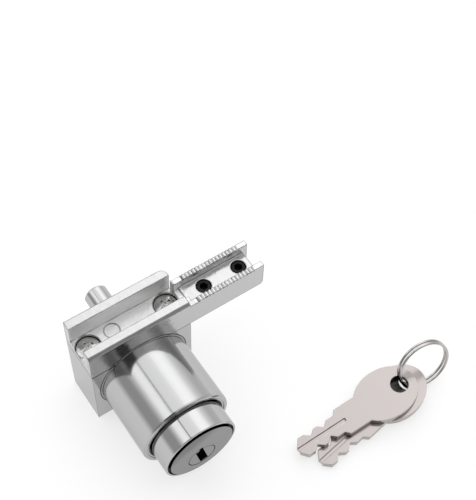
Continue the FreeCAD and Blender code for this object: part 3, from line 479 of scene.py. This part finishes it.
def makeMetal(slot):
    finish = finishes[slot]
    material, tree = newMaterial(slot + "_finish")
    cast = addNode(tree, "ShaderNodeGroup", node_tree=castSurface)
    for name, value in (("Wave Size", finish["wave"]), ("Wave Depth", finish["depth"]),
                        ("Scratch Depth", finish["scratch"]), ("Roughness", finish["rough"]),
                        ("Roughness Spread", finish["spread"])):
        cast.inputs[name].default_value = value
    edges = addNode(tree, "ShaderNodeGroup", node_tree=edgeRounding)
    edges.inputs["Radius"].default_value = finish["edge"]
    gaps = addNode(tree, "ShaderNodeGroup", node_tree=creviceShade)
    for name, value in zip(("Reach", "Dark Below", "Clear Above", "Depth"), finish["paintedShade"]):
        gaps.inputs[name].default_value = value
    height, rough = cast.outputs["Height"], cast.outputs["Roughness"]
    if "inside" in finish:
        channel = addNode(tree, "ShaderNodeGroup", node_tree=roughChannel)
        height = addMath(tree, "ADD", height, channel.outputs["Grain"])
        coarse = addMath(tree, "MULTIPLY", channel.outputs["Inside"], finish["inside"])
        rough = addMath(tree, "ADD", rough, coarse)
    bump = addNode(tree, "ShaderNodeBump", {
        "Height": height, "Normal": edges.outputs["Normal"], "Strength": 1.0, "Distance": finish["bump"]})
    colour = finish["colour"]
    # painted edge light: a positive share paints a highlight along the edges, a negative share paints shade
    # there, capped at the brightest colour
    bright = tuple(min(wearAndPaintedLight["brightest"], part * (1 + finish["paintedEdgeLight"])) for part in colour)
    dull = tuple(part * wearAndPaintedLight["dull"] for part in colour)
    base = colour
    # painted light: the channel's inside and the arm's teeth get a lighter base colour, on top of their real
    # roughness
    if "inside" in finish:
        base = mixColours(tree, channel.outputs["Inside"], colour, finish["insidePaintedLight"])
    paintedEdges = mixColours(tree, edges.outputs["Edge"], base, bright)
    specks = addMath(tree, "MULTIPLY", cast.outputs["Specks"], finish["speck"])
    specked = mixColours(tree, specks, paintedEdges, dull)
    if "seam" in finish:
        line = addNode(tree, "ShaderNodeGroup", node_tree=seam).outputs["Line"]
        line = addMath(tree, "MULTIPLY", line, finish["seam"])
        specked = mixColours(tree, line, specked, wearAndPaintedLight["seamColour"])
    # painted shade: darkness in gaps and recesses, in the hole through the bows and round the disc's side,
    # mixed into the base colour
    paintedShade = gaps.outputs["Painted Shade"]
    for effect, shading in (("hole", holeShade), ("discShade", discShade)):
        if effect in finish:
            dark = addNode(tree, "ShaderNodeGroup", node_tree=shading).outputs["Dark"]
            paintedShade = addMath(tree, "MAXIMUM", paintedShade, addMath(tree, "MULTIPLY", dark, finish[effect]))
    shaded = mixColours(tree, paintedShade, specked, wearAndPaintedLight["paintedShadeColour"])
    metal = addNode(tree, "ShaderNodeBsdfPrincipled", {
        "Base Color": shaded, "Metallic": finish.get("metallic", 1.0), "Roughness": rough,
        "Normal": bump.outputs[0], "Specular Tint": (finish["rim"],) * 3 + (1,),
        "Specular IOR Level": finish.get("specular", 0.5)})
    finishMaterial(tree, metal.outputs[0])
    return material


metals = {slot: makeMetal(slot) for slot in finishes}
for row in frame["record"]["subparts"]:
    for place in nodes[row["node"]].material_slots:
        place.material = metals[row["material_slot"]]
print("metal finishes ready:", len(metals))


# Screws: lengths in millimetres inside the trees, which end at the model's scale

crossScrew = {
    "Head Radius": 3.25, "Head Height": 1.55, "Dome Radius": 9.5, "Cross Span": 3.7, "Cross Width": 0.8,
    "Cross Depth": 1.0, "Core Radius": 1.45, "Thread Radius": 1.68, "Length": 12.0, "Pitch": 0.8,
}
grubScrew = {
    "Core Radius": 1.95, "Thread Radius": 2.14, "Length": 5.9, "End Dome": 3.45, "Socket Radius": 1.25,
    "Socket Depth": 2.4, "Pitch": 0.8,
}
crossCut = {"turn": 0.35, "pitTip": 0.3, "pitDeep": 1.2, "pitDrop": 1.15}
headRise = 0.0015  # how far the solid's head stands above its seat, in metres
threadEnd = 0.35  # plain share of a pitch at each end of a thread
crispAngle = 0.5  # edges bent by more than this, in radians, stay sharp


def newTree(name, sizes):
    tree = bpy.data.node_groups.new(name, "GeometryNodeTree")
    for label, kind in (("Places", "Geometry"), ("Finish", "Material")):
        tree.interface.new_socket(label, in_out="INPUT", socket_type="NodeSocket" + kind)
    for label, value in sizes.items():
        tree.interface.new_socket(label, in_out="INPUT", socket_type="NodeSocketFloat").default_value = value
    tree.interface.new_socket("Geometry", in_out="OUTPUT", socket_type="NodeSocketGeometry")
    return tree, tree.nodes.new("NodeGroupInput").outputs, tree.nodes.new("NodeGroupOutput")


def addVector(tree, x=0.0, y=0.0, z=0.0):
    return addNode(tree, "ShaderNodeCombineXYZ", {"X": x, "Y": y, "Z": z}).outputs[0]


def addMoved(tree, mesh, place=None, turned=None):
    inputs = {"Geometry": mesh}
    if place is not None:
        inputs["Translation"] = place
    if turned is not None:
        inputs["Rotation"] = turned
    return addNode(tree, "GeometryNodeTransform", inputs).outputs[0]


def addCarved(tree, operation, first, others):
    carved = addNode(tree, "GeometryNodeMeshBoolean", operation=operation, solver="EXACT")
    meshes = others if operation == "DIFFERENCE" else [first] + others
    if operation == "DIFFERENCE":
        tree.links.new(first, carved.inputs[0])
    for mesh in meshes:
        tree.links.new(mesh, carved.inputs[1])
    return carved.outputs[0]


def addThread(tree, sizes, top):
    # a ridge wound round the core from its lower end up to a height
    start = addMath(tree, "SUBTRACT", top, sizes["Length"])
    plain = addMath(tree, "MULTIPLY", sizes["Pitch"], 2 * threadEnd)
    tall = addMath(tree, "SUBTRACT", sizes["Length"], plain)
    path = addNode(tree, "GeometryNodeCurveSpiral", {
        "Resolution": 24, "Rotations": addMath(tree, "DIVIDE", tall, sizes["Pitch"]),
        "Start Radius": sizes["Core Radius"], "End Radius": sizes["Core Radius"], "Height": tall})
    ridge = addNode(tree, "GeometryNodeCurvePrimitiveCircle", {
        "Resolution": 3, "Radius": addMath(tree, "SUBTRACT", sizes["Thread Radius"], sizes["Core Radius"])})
    wound = addNode(tree, "GeometryNodeCurveToMesh", {
        "Curve": path.outputs[0], "Profile Curve": ridge.outputs[0], "Fill Caps": True})
    lift = addMath(tree, "ADD", start, addMath(tree, "MULTIPLY", sizes["Pitch"], threadEnd))
    return addMoved(tree, wound.outputs[0], addVector(tree, z=lift))


def endTree(tree, meshes, sizes, result):
    # joined, smooth between the sharp edges, one at each place, with the finish set
    joined = addNode(tree, "GeometryNodeJoinGeometry")
    for mesh in meshes:
        tree.links.new(mesh, joined.inputs[0])
    smooth = addNode(tree, "GeometryNodeSetShadeSmooth", {
        "Geometry": joined.outputs[0], "Shade Smooth": True})
    bend = addNode(tree, "GeometryNodeInputMeshEdgeAngle")
    crisp = addNode(tree, "GeometryNodeSetShadeSmooth", {
        "Geometry": smooth.outputs[0], "Shade Smooth": False,
        "Selection": addMath(tree, "GREATER_THAN", bend.outputs[0], crispAngle)}, domain="EDGE")
    placed = addNode(tree, "GeometryNodeInstanceOnPoints", {
        "Points": sizes["Places"], "Instance": crisp.outputs[0], "Scale": (millimetre,) * 3})
    real = addNode(tree, "GeometryNodeRealizeInstances", {"Geometry": placed.outputs[0]})
    finished = addNode(tree, "GeometryNodeSetMaterial", {
        "Geometry": real.outputs[0], "Material": sizes["Finish"]})
    tree.links.new(finished.outputs[0], result.inputs[0])


def makeCrossScrewTree():
    # the seat under the head is at height 0
    tree, sizes, result = newTree("crossHeadScrew", crossScrew)
    tall = sizes["Head Height"]
    middle = addVector(tree, z=addMath(tree, "MULTIPLY", tall, 0.5))
    blank = addNode(tree, "GeometryNodeMeshCylinder", {
        "Vertices": 72, "Radius": sizes["Head Radius"], "Depth": tall})
    dome = addNode(tree, "GeometryNodeMeshUVSphere", {
        "Segments": 96, "Rings": 128, "Radius": sizes["Dome Radius"]})
    domePlace = addVector(tree, z=addMath(tree, "SUBTRACT", tall, sizes["Dome Radius"]))
    head = addCarved(tree, "INTERSECT", addMoved(tree, blank.outputs[0], middle),
                     [addMoved(tree, dome.outputs[0], domePlace)])
    top = addVector(tree, z=tall)
    deep = addMath(tree, "MULTIPLY", sizes["Cross Depth"], 2.0)
    bar = addNode(tree, "GeometryNodeMeshCube", {
        "Size": addVector(tree, sizes["Cross Span"], sizes["Cross Width"], deep)})
    pit = addNode(tree, "GeometryNodeMeshCone", {
        "Vertices": 24, "Radius Top": sizes["Cross Width"], "Radius Bottom": crossCut["pitTip"],
        "Depth": crossCut["pitDeep"]})
    pitPlace = addVector(tree, z=addMath(tree, "SUBTRACT", tall, crossCut["pitDrop"]))
    head = addCarved(tree, "DIFFERENCE", head, [
        addMoved(tree, bar.outputs[0], top, (0.0, 0.0, crossCut["turn"])),
        addMoved(tree, bar.outputs[0], top, (0.0, 0.0, crossCut["turn"] + math.pi / 2)),
        addMoved(tree, pit.outputs[0], pitPlace)])
    core = addNode(tree, "GeometryNodeMeshCylinder", {
        "Vertices": 48, "Radius": sizes["Core Radius"], "Depth": sizes["Length"]})
    corePlace = addVector(tree, z=addMath(tree, "MULTIPLY", sizes["Length"], -0.5))
    endTree(tree, [head, addMoved(tree, core.outputs[0], corePlace), addThread(tree, sizes, 0.0)],
            sizes, result)
    return tree


def makeGrubScrewTree():
    # the middle of the screw is at height 0
    tree, sizes, result = newTree("grubScrew", grubScrew)
    half = addMath(tree, "MULTIPLY", sizes["Length"], 0.5)
    blank = addNode(tree, "GeometryNodeMeshCylinder", {
        "Vertices": 64, "Radius": sizes["Core Radius"], "Depth": sizes["Length"]})
    ends = addNode(tree, "GeometryNodeMeshUVSphere", {
        "Segments": 64, "Rings": 64, "Radius": sizes["End Dome"]})
    rounded = addCarved(tree, "INTERSECT", blank.outputs[0], [ends.outputs[0]])
    deep = addMath(tree, "MULTIPLY", sizes["Socket Depth"], 2.0)
    socket = addNode(tree, "GeometryNodeMeshCylinder", {
        "Vertices": 6, "Radius": sizes["Socket Radius"], "Depth": deep})
    placed = addMoved(tree, socket.outputs[0], addVector(tree, z=half))
    body = addCarved(tree, "DIFFERENCE", rounded, [placed])
    endTree(tree, [body, addThread(tree, sizes, half)], sizes, result)
    return tree


# Face disc, plug and ring

turnedDisc = {
    "Face Radius": 9.7, "Face Proud": 0.45, "Face Depth": 0.85, "Flange Radius": 10.35, "Depth": 1.45,
    "Hole Radius": 4.2, "Hole Drop": 3.0,
}
discLap = 0.2  # how far the face's cylinder stops short of the flange's rear, in millimetres

# the key's mouth and the notch above it, in millimetres: across, width, height of the middle and tall
keyMouth = {
    "bars": ((0.0, 2.4, 0.0, 7.2), (0.65, 1.1, 3.6, 2.4)), "deep": 1.5, "lean": 12.0, "ahead": 1,
    "noseRadius": 3.98, "noseProud": 0.42, "noseRoot": 0.6,
}

# the ring's own middle and axis in metres, its turn in degrees, and its shift along the axis
keyRing = {
    "middle": (0.06786, -0.04718, 0.00828), "axis": (-0.1534, -0.9265, 0.3437), "turn": 108.0,
    "size": 0.985, "shift": -0.0004,
}


def makeDiscTree():
    # the front face is at y 0 and the axis at height 0
    tree, sizes, result = newTree("turnedDisc", turnedDisc)
    upright = (math.pi / 2, 0.0, 0.0)

    def addRound(radius, start, end, height=0.0):
        tall = addMath(tree, "SUBTRACT", end, start)
        blank = addNode(tree, "GeometryNodeMeshCylinder", {"Vertices": 160, "Radius": radius, "Depth": tall})
        middle = addMath(tree, "MULTIPLY", addMath(tree, "ADD", start, end), 0.5)
        return addMoved(tree, blank.outputs[0], addVector(tree, y=middle, z=height), upright)

    drop = addMath(tree, "MULTIPLY", sizes["Hole Drop"], -1.0)
    middle = addMath(tree, "SUBTRACT", sizes["Depth"], discLap)
    front = addMath(tree, "MULTIPLY", sizes["Face Proud"], -1.0)
    solid = addCarved(tree, "UNION", addRound(sizes["Face Radius"], front, middle),
                      [addRound(sizes["Flange Radius"], sizes["Face Depth"], sizes["Depth"])])
    across, width, rise, tall = keyMouth["bars"][1]
    notch = addNode(tree, "GeometryNodeMeshCube", {"Size": (width, 6.0, tall)})
    lean = math.radians(-keyMouth["lean"])
    shift = Matrix.Rotation(lean, 3, "Y") @ Vector((across, 0, rise))
    height = addMath(tree, "ADD", drop, shift.z)
    notched = addMoved(tree, notch.outputs[0], addVector(tree, x=shift.x, z=height), (0.0, lean, 0.0))
    hole = addRound(sizes["Hole Radius"], -2.0, 3.0, drop)  # through the disc from well before its face
    body = addCarved(tree, "DIFFERENCE", solid, [hole, notched])
    endTree(tree, [body], sizes, result)
    return tree


def copyMerged(node):
    # a copy of a CAD mesh with its doubled points merged
    mesh = nodes[node].data.copy()
    mesh.transform(nodes[node].matrix_world)
    work = bmesh.new()
    work.from_mesh(mesh)
    bmesh.ops.remove_doubles(work, verts=work.verts, dist=1e-6)
    work.to_mesh(mesh)
    work.free()
    return mesh


def makeTurnedRing(name):
    # the split ring turned about its own axis, so that its free ends lie under the bows, clear of both keys
    mesh = copyMerged("key_ring")
    middle = Matrix.Translation(keyRing["middle"])
    axis = Vector(keyRing["axis"]).normalized()
    shift = Matrix.Translation(axis * keyRing["shift"])
    turn = Matrix.Rotation(math.radians(keyRing["turn"]), 4, axis)
    mesh.transform(middle @ shift @ turn @ Matrix.Scale(keyRing["size"], 4) @ middle.inverted())
    mesh.name = name
    mesh.materials.clear()
    mesh.materials.append(metals["ring_nickel"])
    piece = bpy.data.objects.new(name, mesh)
    bpy.context.scene.collection.objects.link(piece)
    return piece


def makeMouthedPlug(name):
    # the plug with its nose brought level with the disc and the mouth cut taller than the keyway behind it
    mesh = copyMerged("key_plug")
    work = bmesh.new()
    low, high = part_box("face_disc")
    deep, ahead = keyMouth["deep"], keyMouth["ahead"]
    height = (low[2] + high[2] - 2 * millimetre * turnedDisc["Hole Drop"]) / 2
    middle = Vector((0, low[1] + millimetre / 2 * (deep - ahead), height))
    leaning = Matrix.Translation(middle) @ Matrix.Rotation(math.radians(-keyMouth["lean"]), 4, "Y")
    carrier = bpy.data.objects.new(name + "Carrier", mesh)
    bpy.context.scene.collection.objects.link(carrier)
    nose, proud, root = (millimetre * keyMouth[size] for size in ("noseRadius", "noseProud", "noseRoot"))
    cutters = []
    for bar in (None,) + keyMouth["bars"]:
        work.clear()
        if bar is None:
            # the nose's cap, joined on before the mouth is cut
            bmesh.ops.create_cone(work, cap_ends=True, segments=96, radius1=nose, radius2=nose,
                                  depth=proud + root)
            work.transform(Matrix.Translation((0, low[1] + root / 2 - proud / 2, middle.z))
                           @ Matrix.Rotation(math.pi / 2, 4, "X"))
        else:
            across, width, rise, tall = bar
            bmesh.ops.create_cube(work, size=millimetre)
            work.transform(leaning @ Matrix.Translation((millimetre * across, 0, millimetre * rise))
                           @ Matrix.Diagonal((width, deep + ahead, tall, 1)))
        block = bpy.data.meshes.new("mouthCutter")
        work.to_mesh(block)
        cutter = bpy.data.objects.new("mouthCutter", block)
        bpy.context.scene.collection.objects.link(cutter)
        carved = carrier.modifiers.new("mouth", "BOOLEAN")
        carved.operation = "DIFFERENCE" if bar else "UNION"
        carved.solver, carved.object = "EXACT", cutter
        cutters.append(cutter)
    work.free()
    grown = bpy.data.meshes.new_from_object(carrier.evaluated_get(bpy.context.evaluated_depsgraph_get()))
    grown.name = name
    for item in [carrier] + cutters:
        bpy.data.objects.remove(item)
    grown.materials.clear()
    grown.materials.append(metals["plug_chrome"])
    piece = bpy.data.objects.new(name, grown)
    bpy.context.scene.collection.objects.link(piece)
    return piece


def growPiece(name, tree, places, finish, sizes):
    # one plain mesh from the tree, at places in metres
    spots = bpy.data.meshes.new(name + "Places")
    spots.from_pydata(places, [], [])
    carrier = bpy.data.objects.new(name + "Carrier", spots)
    bpy.context.scene.collection.objects.link(carrier)
    modifier = carrier.modifiers.new(tree.name, "NODES")
    modifier.node_group = tree
    values = dict(sizes, Finish=finish)
    for socket in tree.interface.items_tree:
        if socket.in_out == "INPUT" and socket.name in values:
            modifier[socket.identifier] = values[socket.name]
    grown = bpy.data.meshes.new_from_object(carrier.evaluated_get(bpy.context.evaluated_depsgraph_get()))
    grown.name = name
    bpy.data.objects.remove(carrier)
    piece = bpy.data.objects.new(name, grown)
    bpy.context.scene.collection.objects.link(piece)
    return piece


crossScrewTree = makeCrossScrewTree()
for side in ("left", "right"):
    low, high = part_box("bracket_screw_" + side)
    place = ((low[0] + high[0]) / 2, (low[1] + high[1]) / 2, high[2] - headRise)
    piece = growPiece("crossScrew_" + side, crossScrewTree, [place], metals["screw_steel"], crossScrew)
    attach(piece, "lock")
    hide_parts("bracket_screw_" + side)
grubScrewTree = makeGrubScrewTree()
for side in ("inner", "outer"):
    low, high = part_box("clamp_screw_" + side)
    place = tuple((start + end) / 2 for start, end in zip(low, high))
    piece = growPiece("grubScrew_" + side, grubScrewTree, [place], metals["black_steel"], grubScrew)
    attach(piece, side + "_clamp")
    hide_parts("clamp_screw_" + side)
print("four screws ready")

low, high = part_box("face_disc")
place = ((low[0] + high[0]) / 2, low[1], (low[2] + high[2]) / 2)
piece = growPiece("turnedFaceDisc", makeDiscTree(), [place], metals["disc_chrome"], turnedDisc)
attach(piece, "push")
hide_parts("face_disc")
piece = makeMouthedPlug("mouthedPlug")
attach(piece, "plug")
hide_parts("key_plug")
piece = makeTurnedRing("turnedKeyRing")
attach(piece, "key_set")
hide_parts("key_ring")
print("face disc, plug mouth and ring ready")
